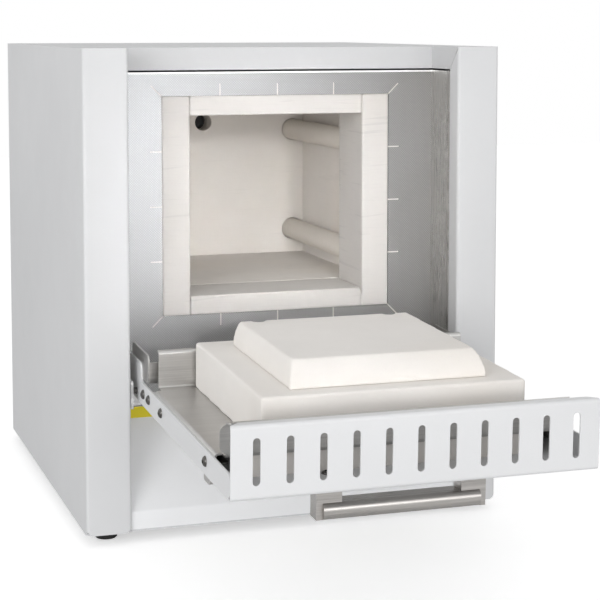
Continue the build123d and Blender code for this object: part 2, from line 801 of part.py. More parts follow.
# Painted shell: one folded sheet makes the skin and the slotted strip, with an arm each side.
with BuildPart() as door_shell:
    with BuildSketch(Plane.YZ):
        with BuildLine():
            FilletPolyline(
                (skin_rear, skin_z + sheet / 2),
                (strip_y + sheet / 2, skin_z + sheet / 2),
                (strip_y + sheet / 2, strip_top - sheet / 2),
                (strip_y + lip_depth, strip_top - sheet / 2),
                radius=bend,
            )
        trace(line_width=sheet)
    extrude(amount=door_half, both=True)
    # the top lip is cut back at both ends
    with BuildSketch(Plane.XY.offset(strip_top)):
        for side in (-1, 1):
            with BuildLine():
                Polyline(
                    (side * door_half, strip_y + bend),
                    (side * (door_half - lip_depth), strip_y + lip_depth + 1),
                    (side * door_half, strip_y + lip_depth + 1),
                    close=True,
                )
            make_face()
    extrude(amount=-2 * sheet, mode=Mode.SUBTRACT)
    with BuildSketch(Plane.YZ.offset(door_half - sheet)) as arm_outline:
        with BuildLine():
            Polyline(
                (strip_y + sheet, skin_z + sheet / 2),
                (hinge_y + tail_reach, skin_z + sheet / 2),
                (hinge_y + tail_reach, tail_top),
                (tail_front, tail_top),
                (tail_front, arm_top),
                (strip_y + sheet, arm_top),
                close=True,
            )
        make_face()
        tail_corners = arm_outline.vertices().group_by(Axis.Z)[-1]
        fillet(tail_corners, radius=10)
    arm = extrude(amount=sheet)
    mirror(arm, about=Plane.YZ)
    with BuildSketch(Plane.XZ.offset(-strip_y)):
        with Locations((0, strip_top - 13.4 - slot_length / 2)):
            with GridLocations(slot_pitch, 0, slot_count, 1):
                SlotOverall(slot_length, slot_width, rotation=90)
    extrude(amount=-2 * sheet, mode=Mode.SUBTRACT)
    with BuildSketch(Plane.YZ):
        with Locations((hinge_y, hinge_z)):
            Circle(pin_radius + running_gap)
    extrude(amount=door_half + 1, both=True, mode=Mode.SUBTRACT)
    with BuildSketch(Plane.XY.offset(skin_z)):
        with GridLocations(handle_spacing, 0, 2, 1):
            with Locations((0, handle_y)):
                Circle(screw_radius + running_gap)
        with Locations((slide_x, slide_y - slide_travel / 2)):
            Rectangle(tab_width, tab_length + slide_travel + 2)
        with Locations(*[(slide_x, y) for y in air_slot_places]):
            SlotOverall(*air_slot)
    extrude(amount=sheet, mode=Mode.SUBTRACT)
export_door(door_shell, "door_shell")

# Stainless liner: a tray with an upright at each end and flanges screwed to the arms.
upright_half = 190.0
upright_reach = door_half - sheet - 1.5
liner_front = strip_y + 54
liner_rear = slab_y + slab_offset + slab_length / 2 + 6.3
front_upright = 36.0
rear_upright = 43.5
with BuildPart() as door_liner:
    with BuildSketch(Plane.YZ):
        with BuildLine():
            FilletPolyline(
                (liner_front - 8, slab_z + front_upright - sheet / 2),
                (liner_front - sheet / 2, slab_z + front_upright - sheet / 2),
                (liner_front - sheet / 2, liner_z + sheet / 2),
                (liner_rear, liner_z + sheet / 2),
                (liner_rear, slab_z + rear_upright - sheet / 2),
                (liner_rear + 6, slab_z + rear_upright - sheet / 2),
                radius=bend,
            )
        trace(line_width=sheet)
    extrude(amount=upright_half, both=True)
    front_corners = (
        door_liner.edges().filter_by(Axis.Z, tolerance=1).group_by(Axis.Y)[0]
    )
    fillet(front_corners, radius=5)
    # the front upright is wider than the tray
    with BuildSketch(Plane.XZ.offset(-liner_front)) as wide_upright:
        with Locations((0, slab_z + front_upright / 2)):
            Rectangle(2 * upright_reach, front_upright - 2 * bend)
        top_corners = wide_upright.vertices().group_by(Axis.Z)[-1]
        fillet(top_corners, radius=8)
    extrude(amount=sheet)
    with BuildSketch(Plane.XZ.offset(-(liner_front + 12))):
        with BuildLine():
            FilletPolyline(
                (upright_half - 2, liner_z + sheet / 2),
                (door_half - 1.5 * sheet, liner_z + sheet / 2),
                (door_half - 1.5 * sheet, skin_z + 4),
                radius=bend,
            )
        trace(line_width=sheet)
    side_flange = extrude(amount=-(liner_rear - liner_front - 26))
    mirror(side_flange, about=Plane.YZ)
export_door(door_liner, "door_liner")

# Ears beside the arms' tails, which carry the liner's rear corners.
ear_front = -37.0
ear_rear = 47.0
ear_bottom = hinge_z + 20
ear_top = hinge_z + 53
ear_outer = door_half - sheet
with BuildPart() as liner_ears:
    with BuildSketch(Plane.YZ.offset(ear_outer - sheet)) as ear_outline:
        with Locations(((ear_front + ear_rear) / 2, (ear_bottom + ear_top) / 2)):
            Rectangle(ear_rear - ear_front, ear_top - ear_bottom)
        fillet(ear_outline.vertices().group_by(Axis.Z)[-1], radius=8)
    ear_plate = extrude(amount=sheet)
    with BuildSketch(Plane.XZ.offset(-ear_front)):
        with Locations((ear_outer - 9, (ear_bottom + ear_top) / 2 - 4)):
            Rectangle(18, ear_top - ear_bottom - 8)
    ear_flange = extrude(amount=-sheet)
    mirror(ear_plate, about=Plane.YZ)
    mirror(ear_flange, about=Plane.YZ)
export_door(liner_ears, "liner_ears")

backing_half = 158.0
backing_front = liner_front + 14
with BuildPart() as door_backing:
    with BuildSketch(Plane.XY.offset(skin_z + sheet)):
        with Locations((0, (backing_front + liner_rear) / 2)):
            Rectangle(2 * backing_half, liner_rear - backing_front)
    extrude(amount=liner_z - skin_z - sheet)
export_door(door_backing, "door_backing")

# Fibre slab with a raised plug that enters the chamber's mouth when the door is shut.
with BuildPart() as door_slab:
    with BuildSketch(Plane.XY.offset(slab_z)):
        with Locations((0, slab_y + slab_offset)):
            Rectangle(slab_width, slab_length)
    extrude(amount=slab_top - slab_z)
    chamfer(door_slab.faces().sort_by(Axis.Z)[-1].edges(), length=2)
    chamfer(door_slab.edges().filter_by(Axis.Z), length=2)
export_door(door_slab, "door_slab")

scoop_radius = 8.0
with BuildPart() as door_plug:
    for rise in (0, 0.35, 0.7, 1):
        inset = rise**2.2
        with BuildSketch(Plane.XY.offset(slab_top + rise * plug_height)):
            with Locations((0, slab_y + inset * plug_lean)):
                Rectangle(
                    plug_base[0] + inset * (plug_top[0] - plug_base[0]),
                    plug_base[1] + inset * (plug_top[1] - plug_base[1]),
                )
    loft()
    with BuildSketch(Plane.XY.offset(slab_top + plug_height)):
        with Locations((0, slab_y + plug_lean + plug_top[1] / 2)):
            with GridLocations(handle_spacing, 0, 2, 1):
                Circle(scoop_radius)
    extrude(amount=-2.5, mode=Mode.SUBTRACT)
export_door(door_plug, "door_plug")

# Bow handle below the skin: a round-fronted bar let into two square posts.
post_size = (28.0, 19.0)
post_wall = 7.0  # post left beyond each end of the bar
bar_height = 17.5
bar_depth = 24.0
with BuildPart() as handle_bar:
    with BuildSketch(Plane.XY.offset(skin_z - handle_reach)):
        with Locations((0, handle_y - 2.5)):
            Rectangle(handle_length - 2 * post_wall, bar_depth)
    extrude(amount=bar_height)
    front_edges = handle_bar.edges().filter_by(Axis.X).group_by(Axis.Y)[0]
    fillet(front_edges, radius=7)
export_door(handle_bar, "handle_bar")

with BuildPart() as handle_posts:
    with BuildSketch(Plane.XY.offset(skin_z - handle_reach)):
        with GridLocations(handle_spacing, 0, 2, 1):
            with Locations((0, handle_y)):
                Rectangle(*post_size)
    extrude(amount=handle_reach)
    with BuildSketch(Plane.XY.offset(skin_z - handle_reach)):
        with Locations((0, handle_y)):
            Rectangle(handle_length - 2 * post_wall, post_size[1] + 1)
    extrude(amount=bar_height, mode=Mode.SUBTRACT)
    with BuildSketch(Plane.XY.offset(skin_z)):
        with GridLocations(handle_spacing, 0, 2, 1):
            with Locations((0, handle_y)):
                Circle(screw_radius + running_gap)
    extrude(amount=-14, mode=Mode.SUBTRACT)
export_door(handle_posts, "handle_posts")

screw_head = 5.5
head_height = 3.4
head_chamfer = 1.6
with BuildPart() as handle_screws:
    with BuildSketch(Plane.XY.offset(skin_z + sheet)):
        with GridLocations(handle_spacing, 0, 2, 1):
            with Locations((0, handle_y)):
                Circle(screw_head)
    extrude(amount=head_height)
    chamfer(handle_screws.faces().group_by(Axis.Z)[-1].edges(), length=head_chamfer)
    with BuildSketch(Plane.XY.offset(skin_z + sheet)):
        with GridLocations(handle_spacing, 0, 2, 1):
            with Locations((0, handle_y)):
                Circle(screw_radius)
    extrude(amount=-14)
export_door(handle_screws, "handle_screws")

with BuildPart() as arm_screws:
    with BuildSketch(Plane.YZ.offset(door_half)):
        with Locations(*[(y, screw_z) for y in screw_places]):
            Circle(screw_head)
    extrude(amount=head_height)
    chamfer(arm_screws.faces().group_by(Axis.X)[-1].edges(), length=head_chamfer)
    mirror(arm_screws.part, about=Plane.YZ)
export_door(arm_screws, "arm_screws")

# Air inlet slide: a plate on the inside of the skin, moved by a tab that hangs below it.
slide_plate = (24.0, 70.0)
slide_gap = 0.3
tab_drop = 27.0
with BuildPart() as air_slide:
    with BuildSketch(Plane.XY.offset(skin_z + sheet + slide_gap)):
        with Locations((slide_x, slide_y)):
            RectangleRounded(*slide_plate, 3)
    extrude(amount=1.6)
    with BuildSketch(Plane.XY.offset(skin_z + sheet + slide_gap)):
        with Locations((slide_x, slide_y)):
            Rectangle(tab_width - 1, tab_length)
    extrude(amount=-(sheet + slide_gap + tab_drop))
    fillet(air_slide.edges().filter_by(Axis.X).group_by(Axis.Z)[0], radius=4)
export_door(air_slide, "air_slide")
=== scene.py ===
"""Muffle furnace with its door let down: finishes, fine pieces and a plain studio.

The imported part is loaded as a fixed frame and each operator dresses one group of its
pieces. Lengths are metres, in the part's own frame: X to the right, Y to the back, Z up.
"""

import json
import math

import bpy
from bpy.props import FloatProperty, FloatVectorProperty, PointerProperty
from mathutils import Matrix, Vector, noise


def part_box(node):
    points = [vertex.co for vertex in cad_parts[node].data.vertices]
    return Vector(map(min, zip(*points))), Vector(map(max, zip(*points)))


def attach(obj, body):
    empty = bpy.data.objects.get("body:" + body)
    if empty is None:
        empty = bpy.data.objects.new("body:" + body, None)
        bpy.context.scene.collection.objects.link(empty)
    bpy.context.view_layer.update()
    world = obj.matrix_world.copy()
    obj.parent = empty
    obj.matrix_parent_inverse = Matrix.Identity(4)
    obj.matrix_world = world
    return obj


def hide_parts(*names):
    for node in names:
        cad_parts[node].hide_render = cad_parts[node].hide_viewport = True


bl_info = {
    "name": "Muffle furnace",
    "version": (1, 0, 0),
    "blender": (4, 5, 0),
    "location": "View3D > Sidebar > Furnace",
    "description": "Dresses a flap-door muffle furnace and sets up its studio",
    "category": "Object",
}

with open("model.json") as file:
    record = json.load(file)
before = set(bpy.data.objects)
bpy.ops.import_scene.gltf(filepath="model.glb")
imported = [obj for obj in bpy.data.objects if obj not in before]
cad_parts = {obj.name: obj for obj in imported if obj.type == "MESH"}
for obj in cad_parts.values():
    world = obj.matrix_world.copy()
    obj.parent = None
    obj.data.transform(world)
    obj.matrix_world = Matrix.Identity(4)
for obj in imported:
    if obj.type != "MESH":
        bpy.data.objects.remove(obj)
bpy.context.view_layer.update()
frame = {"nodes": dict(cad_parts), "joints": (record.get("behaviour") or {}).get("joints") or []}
nodes = frame["nodes"]
joints = {joint["name"]: joint for joint in frame["joints"]}
SLIDE_AXIS = Vector(joints["air_slide_travel"]["axis"])
# The level door's directions, turned to where the open door hangs.
DOOR_FRONT = SLIDE_AXIS.normalized()
DOOR_UP = DOOR_FRONT.cross(Vector((1, 0, 0))).normalized()
if DOOR_UP.z < 0:
    DOOR_UP.negate()


# --- node trees -----------------------------------------------------------------------


class Finish:
    """One material's node tree around a Principled shader."""

    def __init__(self, name):
        self.material = bpy.data.materials.new(name)
        self.material.use_nodes = True
        self.tree = self.material.node_tree
        self.tree.nodes.clear()
        self.surface = self.node("ShaderNodeBsdfPrincipled")
        output = self.node("ShaderNodeOutputMaterial")
        self.link(self.surface.outputs["BSDF"], output.inputs["Surface"])
        self.place = self.node("ShaderNodeTexCoord").outputs["Object"]

    def node(self, kind, **settings):
        """A new node with its settings."""
        made = self.tree.nodes.new(kind)
        for key, value in settings.items():
            setattr(made, key, value)
        return made

    def link(self, source, target):
        """Joins an output to an input."""
        self.tree.links.new(source, target)

    def set(self, **values):
        """Sets the shader's constant inputs, with _ for a space in a name."""
        for key, value in values.items():
            self.surface.inputs[key.replace("_", " ")].default_value = value

    def stretched(self, scale, turn=(0, 0, 0)):
        """Object coordinates, turned and then scaled."""
        mapping = self.node("ShaderNodeMapping", vector_type="TEXTURE")
        mapping.inputs["Rotation"].default_value = turn
        mapping.inputs["Scale"].default_value = [1 / value for value in scale]
        self.link(self.place, mapping.inputs["Vector"])
        return mapping.outputs["Vector"]

    def noise(self, scale, detail=3.0, rough=0.5, place=None):
        """Noise between 0 and 1, scale in features per metre."""
        texture = self.node("ShaderNodeTexNoise")
        texture.inputs["Scale"].default_value = scale
        texture.inputs["Detail"].default_value = detail
        texture.inputs["Roughness"].default_value = rough
        self.link(place or self.place, texture.inputs["Vector"])
        return texture.outputs["Fac"]

    def bands(self, pitch, direction, distortion=0.0, place=None):
        """Sine bands along X, Y or Z, one every pitch metres."""
        wave = self.node("ShaderNodeTexWave", bands_direction=direction)
        wave.inputs["Scale"].default_value = math.tau / 20 / pitch
        wave.inputs["Distortion"].default_value = distortion
        wave.inputs["Detail"].default_value = 2
        wave.inputs["Detail Scale"].default_value = 2
        self.link(place or self.place, wave.inputs["Vector"])
        return wave.outputs["Fac"]

    def cells(self, scale, feature="F1"):
        """Voronoi cells, as a random colour each."""
        texture = self.node("ShaderNodeTexVoronoi", feature=feature)
        texture.inputs["Scale"].default_value = scale
        self.link(self.place, texture.inputs["Vector"])
        return texture.outputs

    def spread(self, value, low, high, start=0.3, end=0.7):
        """Maps a value onto a range."""
        span = self.node("ShaderNodeMapRange")
        ends = (("From Min", start), ("From Max", end), ("To Min", low), ("To Max", high))
        for key, number in ends:
            span.inputs[key].default_value = number
        self.link(value, span.inputs["Value"])
        return span.outputs["Result"]

    def math(self, operation, first, second):
        """Two values, or a value and a number, put through one operation."""
        made = self.node("ShaderNodeMath", operation=operation)
        self.link(first, made.inputs[0])
        if isinstance(second, (int, float)):
            made.inputs[1].default_value = second
        else:
            self.link(second, made.inputs[1])
        return made.outputs["Value"]

    def blend(self, factor, first, second):
        """A colour between two colours or colour sockets."""
        mix = self.node("ShaderNodeMix", data_type="RGBA")
        self.link(factor, mix.inputs["Factor"])
        for value, socket in ((first, mix.inputs["A"]), (second, mix.inputs["B"])):
            if isinstance(value, bpy.types.NodeSocket):
                self.link(value, socket)
            else:
                socket.default_value = (*value[:3], 1)
        return mix.outputs["Result"]

    def bump(self, height, distance, strength=1.0, under=None):
        """Relief with a height in metres, on top of the relief under it."""
        made = self.node("ShaderNodeBump")
        made.inputs["Strength"].default_value = strength
        made.inputs["Distance"].default_value = distance
        self.link(height, made.inputs["Height"])
        if under:
            self.link(under, made.inputs["Normal"])
        return made.outputs["Normal"]

    def finish(self, colour, roughness, normal):
        """Joins colour, roughness and relief to the shader and gives the material."""
        self.link(colour, self.surface.inputs["Base Color"])
        self.link(roughness, self.surface.inputs["Roughness"])
        self.link(normal, self.surface.inputs["Normal"])
        return self.material


def shade(colour, factor):
    """A colour made lighter or darker."""
    return [min(1.0, channel * factor) for channel in colour[:3]]


# --- finishes -------------------------------------------------------------------------


def powder_coat(name, colour, roughness=0.46, grain=1300.0):
    """Baked powder coat: fine grain, a slight orange peel and faint handling marks."""
    coat = Finish(name)
    broad = coat.noise(5.0, 3.0)
    speck = coat.noise(grain * 0.6, 2.0)
    tone = coat.blend(coat.spread(broad, 0, 1), shade(colour, 0.965), shade(colour, 1.0))
    tone = coat.blend(coat.spread(speck, 0, 0.35, 0.62, 0.75), tone, shade(colour, 0.88))
    marks = coat.noise(22.0, 6.0, 0.65)
    rough = coat.spread(marks, roughness - 0.06, roughness + 0.08)
    peel = coat.bump(coat.noise(240.0, 2.0), 0.0001, 0.35)
    relief = coat.bump(coat.noise(grain, 3.0, 0.6), 0.00006, 0.6, peel)
    coat.set(Specular_IOR_Level=0.42)
    return coat.finish(tone, rough, relief)


def brushed(name, colour, along, roughness=0.3, streak=0.12, cloud=0.08):
    """Brushed sheet: long grain along one axis, cloudy handling marks, fine scratches."""
    metal = Finish(name)
    scale = [620.0, 620.0, 620.0]
    scale["XYZ".index(along)] = 9.0
    grain = metal.noise(1.0, 4.0, 0.65, metal.stretched(scale))
    clouds = metal.noise(9.0, 4.0, 0.6)
    dull, bright = shade(colour, 1 - streak), shade(colour, 1 + streak)
    tone = metal.blend(metal.spread(grain, 0, 1), dull, bright)
    tone = metal.blend(metal.spread(clouds, 0, cloud * 4), tone, shade(colour, 0.86))
    wear = metal.math("ADD", metal.spread(grain, -0.05, 0.06), metal.spread(clouds, -0.04, 0.05))
    rough = metal.math("ADD", wear, roughness)
    scratch = metal.stretched([value * 1.7 for value in scale], (0.02, 0.03, 0.02))
    relief = metal.bump(grain, 0.00003, 0.5)
    relief = metal.bump(metal.noise(1.0, 1.0, 0.5, scratch), 0.00003, 0.25, relief)
    metal.set(Metallic=1.0)
    return metal.finish(tone, rough, relief)


def embossed(name, colour, painted_sheen_left, edge):
    """Stainless sheet rolled with a fine diamond weave, with a painted reflection that makes it
    brighter to the upper left and a painted highlight along its top edge.
    """
    metal = Finish(name)
    turned = metal.stretched((1, 1, 1), (0, math.radians(45), 0))
    pitch = 0.0022
    rows, columns = metal.bands(pitch, "X", 0, turned), metal.bands(pitch, "Z", 0, turned)
    weave = metal.math("MULTIPLY", rows, columns)
    clouds = metal.noise(6.0, 3.0)
    split = metal.node("ShaderNodeSeparateXYZ")
    metal.link(metal.place, split.inputs["Vector"])
    # painted reflection: lighter towards the left and towards the top, where the sheet would
    # mirror the lamps, with a random cloudy tone on top
    across = metal.spread(split.outputs["X"], 1, 0, -0.19, 0.17)
    painted_reflection_rise = metal.spread(split.outputs["Z"], 0.62, 1, 0.18, 0.5)
    bright = metal.math("MULTIPLY", across, painted_reflection_rise)
    bright = metal.math("ADD", bright, metal.spread(clouds, -0.06, 0.06))
    plain = metal.blend(bright, shade(colour, 0.85), painted_sheen_left)
    # the weave's dents are painted darker than its flats: painted shade in the recesses
    dents = metal.blend(bright, shade(colour, 0.6), shade(painted_sheen_left, 0.74))
    tone = metal.blend(metal.spread(weave, 0, 1, 0, 0.8), dents, plain)
    # a painted highlight along the top edge, where the fold would catch the light
    painted_top_highlight = metal.spread(split.outputs["Z"], 0, 1, edge - 0.0025, edge - 0.0015)
    tone = metal.blend(painted_top_highlight, tone, (0.95, 0.95, 0.95))
    rough = metal.math("ADD", metal.spread(clouds, -0.04, 0.06), 0.36)
    relief = metal.bump(weave, 0.0003, 0.8)
    relief = metal.bump(metal.noise(900.0, 2.0), 0.00003, 0.4, relief)
    metal.set(Metallic=1.0)
    return metal.finish(tone, rough, relief)


def galvanised(name, colour):
    """Hot-dipped zinc with its spangle."""
    metal = Finish(name)
    spangle = metal.cells(110.0)
    value = metal.node("ShaderNodeRGBToBW")
    metal.link(spangle["Color"], value.inputs["Color"])
    tone = metal.blend(value.outputs["Val"], shade(colour, 0.82), shade(colour, 1.12))
    rough = metal.math("ADD", metal.spread(value.outputs["Val"], -0.08, 0.12, 0, 1), 0.42)
    relief = metal.bump(metal.noise(160.0, 3.0), 0.00006, 0.5)
    metal.set(Metallic=1.0)
    return metal.finish(tone, rough, relief)


def fibre(name, colour, grain=0.0):
    """Ceramic fibre: matt and mottled, with pits, loose fibres and level saw marks."""
    wool = Finish(name)
    mottle = wool.noise(14.0, 5.0, 0.6)
    dim, pale = shade(colour, 0.955), shade(colour, 1.01)
    tone = wool.blend(wool.spread(mottle, 0, 1, 0.25, 0.75), dim, pale)
    stain = wool.noise(4.5, 4.0, 0.55)
    warm = [colour[0] * 0.97, colour[1] * 0.93, colour[2] * 0.87]
    tone = wool.blend(wool.spread(stain, 0, 0.55, 0.5, 0.8), tone, warm)
    pits = wool.noise(520.0, 3.0, 0.6)
    tone = wool.blend(wool.spread(pits, 0, 0.5, 0.66, 0.78), tone, shade(colour, 0.8))
    rough = wool.spread(mottle, 0.88, 0.98)
    relief = wool.bump(mottle, 0.0006, 0.5)
    strands = wool.noise(1.0, 3.0, 0.6, wool.stretched((140.0, 600.0, 420.0), (0.3, 0.5, 0.2)))
    relief = wool.bump(strands, 0.0003, 0.3, relief)
    relief = wool.bump(pits, 0.0003, 0.4, relief)
    if grain:
        # fine level saw marks and a few longer cracks that wander
        marks = wool.noise(1.0, 3.0, 0.6, wool.stretched((22.0, 22.0, 520.0), (0.0, 0.03, 0.0)))
        cracks = wool.noise(1.0, 2.0, 0.5, wool.stretched((9.0, 9.0, 130.0), (0.0, -0.06, 0.0)))
        relief = wool.bump(marks, 0.0004, 0.6 * grain, relief)
        tone = wool.blend(wool.spread(marks, 0, 0.5 * grain, 0.56, 0.72), tone, shade(colour, 0.9))
        wander = wool.spread(cracks, 0, 0.55 * grain, 0.64, 0.7)
        tone = wool.blend(wander, tone, shade(colour, 0.84))
    wool.set(Specular_IOR_Level=0.18, Sheen_Weight=0.12, Sheen_Roughness=0.6)
    return wool.finish(tone, rough, relief)


def ceramic(name, colour):
    """Unglazed ceramic tube with turning marks and a few dust specks."""
    clay = Finish(name)
    rings = clay.bands(0.0045, "Y", 2.5)
    specks = clay.noise(260.0, 3.0)
    tone = clay.blend(clay.spread(rings, 0, 0.5), shade(colour, 1.0), shade(colour, 0.95))
    tone = clay.blend(clay.spread(specks, 0, 0.6, 0.68, 0.8), tone, shade(colour, 0.76))
    rough = clay.spread(clay.noise(30.0), 0.6, 0.78)
    relief = clay.bump(rings, 0.00015, 0.4)
    relief = clay.bump(specks, 0.0001, 0.4, relief)
    clay.set(Specular_IOR_Level=0.3)
    return clay.finish(tone, rough, relief)


def moulded(name, colour, roughness, grain=900.0, depth=0.00006):
    """Moulded plastic or rubber with an eroded grain and rubbed patches."""
    mass = Finish(name)
    broad = mass.noise(35.0, 4.0, 0.6)
    tone = mass.blend(mass.spread(broad, 0, 1), shade(colour, 0.85), shade(colour, 1.2))
    rough = mass.spread(broad, roughness - 0.06, roughness + 0.08)
    relief = mass.bump(mass.noise(grain, 2.0), depth, 0.7)
    return mass.finish(tone, rough, relief)


def window_glass(name, colour):
    """Dark glossy window with faint wiping marks."""
    pane = Finish(name)
    wipe = pane.noise(1.0, 4.0, 0.6, pane.stretched((30.0, 200.0, 60.0), (0.2, 0.4, 0.5)))
    tone = pane.blend(pane.spread(wipe, 0, 1), shade(colour, 0.85), shade(colour, 1.3))
    rough = pane.spread(wipe, 0.04, 0.14)
    relief = pane.bump(pane.noise(60.0, 2.0), 0.00002, 0.3)
    pane.set(Coat_Weight=0.6, Coat_Roughness=0.03)
    return pane.finish(tone, rough, relief)


def heated_wire(name, colour):
    """Resistance wire with a dull oxide skin."""
    wire = Finish(name)
    scale = wire.noise(300.0, 5.0, 0.65)
    tone = wire.blend(wire.spread(scale, 0, 1), shade(colour, 0.6), shade(colour, 1.2))
    rough = wire.spread(scale, 0.55, 0.85)
    wire.set(Metallic=0.7)
    return wire.finish(tone, rough, wire.bump(scale, 0.0001, 0.6))


def flue_steel(name, colour):
    """Stainless tube, painted near-black inside and plain steel where it leaves the rear wall."""
    tube = Finish(name)
    split = tube.node("ShaderNodeSeparateXYZ")
    tube.link(tube.place, split.inputs["Vector"])
    inner_mottle = tube.noise(60.0, 4.0)
    past_rear_wall = tube.spread(split.outputs["Y"], 0, 1, 0.572, 0.592)
    # near-black inside the tube, mottled
    skin = tube.blend(tube.spread(inner_mottle, 0, 1), (0.012, 0.011, 0.01), (0.03, 0.026, 0.022))
    tone = tube.blend(past_rear_wall, skin, colour)
    rough = tube.spread(inner_mottle, 0.5, 0.7)
    tube.set(Metallic=0.6)
    return tube.finish(tone, rough, tube.bump(inner_mottle, 0.0002, 0.5))


class FurnaceFinish(bpy.types.PropertyGroup):
    """Colours of the furnace."""

    paint: FloatVectorProperty(
        name="Paint",
        description="Powder coat of the casing",
        subtype="COLOR",
        default=(0.735, 0.74, 0.75),
        min=0,
        max=1,
    )
    door_paint: FloatVectorProperty(
        name="Door paint",
        description="Powder coat of the door",
        subtype="COLOR",
        default=(0.76, 0.765, 0.775),
        min=0,
        max=1,
    )
    band: FloatVectorProperty(
        name="Band",
        description="Band above the controls",
        subtype="COLOR",
        default=(0.95, 0.8, 0.014),
        min=0,
        max=1,
    )
    steel: FloatVectorProperty(
        name="Steel",
        description="Bare stainless sheet",
        subtype="COLOR",
        default=(0.6, 0.59, 0.575),
        min=0,
        max=1,
    )
    wool: FloatVectorProperty(
        name="Fibre",
        description="Ceramic fibre of the collar and the door",
        subtype="COLOR",
        default=(0.84, 0.81, 0.775),
        min=0,
        max=1,
    )
    voxel: FloatProperty(
        name="Softness",
        description="Size of the facets that round the fibre's edges",
        default=0.002,
        min=0.001,
        max=0.01,
        unit="LENGTH",
    )


class FurnaceStudio(bpy.types.PropertyGroup):
    """Lamps and camera."""

    key: FloatProperty(
        name="Front lamp",
        description="Strength of the large lamp in front",
        default=9.8,
        min=0,
        unit="POWER",
    )
    side: FloatProperty(
        name="Side lamp",
        description="Strength of the lamp to the left",
        default=28.5,
        min=0,
        unit="POWER",
    )
    low: FloatProperty(
        name="Low lamp",
        description="Strength of the strip lamp near the floor",
        default=11.0,
        min=0,
        unit="POWER",
    )
    mouth: FloatProperty(
        name="Chamber lamp",
        description="Strength of the narrow lamp aimed into the chamber",
        default=0.105,
        min=0,
        unit="POWER",
    )
    room: FloatProperty(
        name="Room",
        description="Strength of the light from all around",
        default=0.75,
        min=0,
    )
    lens: FloatProperty(
        name="Lens",
        description="Focal length in millimetres",
        default=101.86,
        min=20,
    )


# --- meshes ---------------------------------------------------------------------------


def mesh_object(name, points, faces, material, smooth=False):
    """A new object from points and faces, in place."""
    mesh = bpy.data.meshes.new(name)
    mesh.from_pydata([tuple(point) for point in points], [], faces)
    mesh.update()
    mesh.materials.append(material)
    for polygon in mesh.polygons:
        polygon.use_smooth = smooth
    made = bpy.data.objects.new(name, mesh)
    bpy.context.scene.collection.objects.link(made)
    return made


def baked(source, name, material):
    """The source with its modifiers applied, as a plain object of its own."""
    graph = bpy.context.evaluated_depsgraph_get()
    graph.update()
    mesh = bpy.data.meshes.new_from_object(source.evaluated_get(graph))
    mesh.name = name
    mesh.materials.clear()
    mesh.materials.append(material)
    for polygon in mesh.polygons:
        polygon.material_index = 0
    made = bpy.data.objects.new(name, mesh)
    bpy.context.scene.collection.objects.link(made)
    bpy.data.objects.remove(source)
    return made


def softened(node, name, material, voxel, passes):
    """A copy of a frame node with its edges rounded off evenly."""
    copy = bpy.data.objects.new(name + "_raw", nodes[node].data.copy())
    bpy.context.scene.collection.objects.link(copy)
    remesh = copy.modifiers.new("Even facets", "REMESH")
    remesh.mode = "VOXEL"
    remesh.voxel_size = voxel
    smooth = copy.modifiers.new("Soft edges", "SMOOTH")
    smooth.factor = 0.5
    smooth.iterations = passes
    made = baked(copy, name, material)
    for polygon in made.data.polygons:
        polygon.use_smooth = True
    return made


def roughened(piece, depth, scale, seed):
    """Moves a fibre surface in and out by a few tenths of a millimetre."""
    shift = Vector((seed * 3.1, seed * 1.7, seed * 5.3))
    mesh = piece.data
    normals = [vertex.normal.copy() for vertex in mesh.vertices]
    for vertex, normal in zip(mesh.vertices, normals):
        swell = noise.noise(vertex.co * scale + shift)
        fine = noise.noise(vertex.co * scale * 5 + shift)
        vertex.co -= normal * depth * (0.5 + 0.35 * swell + 0.15 * fine)
    mesh.update()


def chipped(piece, corner, reach, depth, seed):
    """Breaks small flakes from a fibre edge around one corner point."""
    shift = Vector((seed, seed * 2.3, seed * 0.7))
    mesh = piece.data
    normals = [vertex.normal.copy() for vertex in mesh.vertices]
    for vertex, normal in zip(mesh.vertices, normals):
        away = (vertex.co - corner).length
        if away < reach:
            flake = max(0.0, noise.noise(vertex.co * 160 + shift) + 0.25)
            vertex.co -= normal * depth * flake * (1 - away / reach)
    mesh.update()


def dress(slot, material):
    """Gives every frame node of one slot its finish."""
    for node in nodes.values():
        if node.data.materials[0].name.split(".")[0] == slot:
            node.material_slots[0].material = material
            node["slot_name"] = slot


def finish_of(slot):
    """The finish that the nodes of one slot have been given."""
    for node in nodes.values():
        if node.get("slot_name") == slot:
            return node.material_slots[0].material
    raise ValueError(f"no node has the slot {slot}")


def eased(names, width, segments=2):
    """Breaks the sharp edges of frame nodes, as folding and painting do."""
    for name in names:
        bevel = nodes[name].modifiers.new("Eased edges", "BEVEL")
        bevel.width = width
        bevel.segments = segments
        bevel.limit_method = "ANGLE"
        bevel.angle_limit = math.radians(50)
        bevel.harden_normals = False


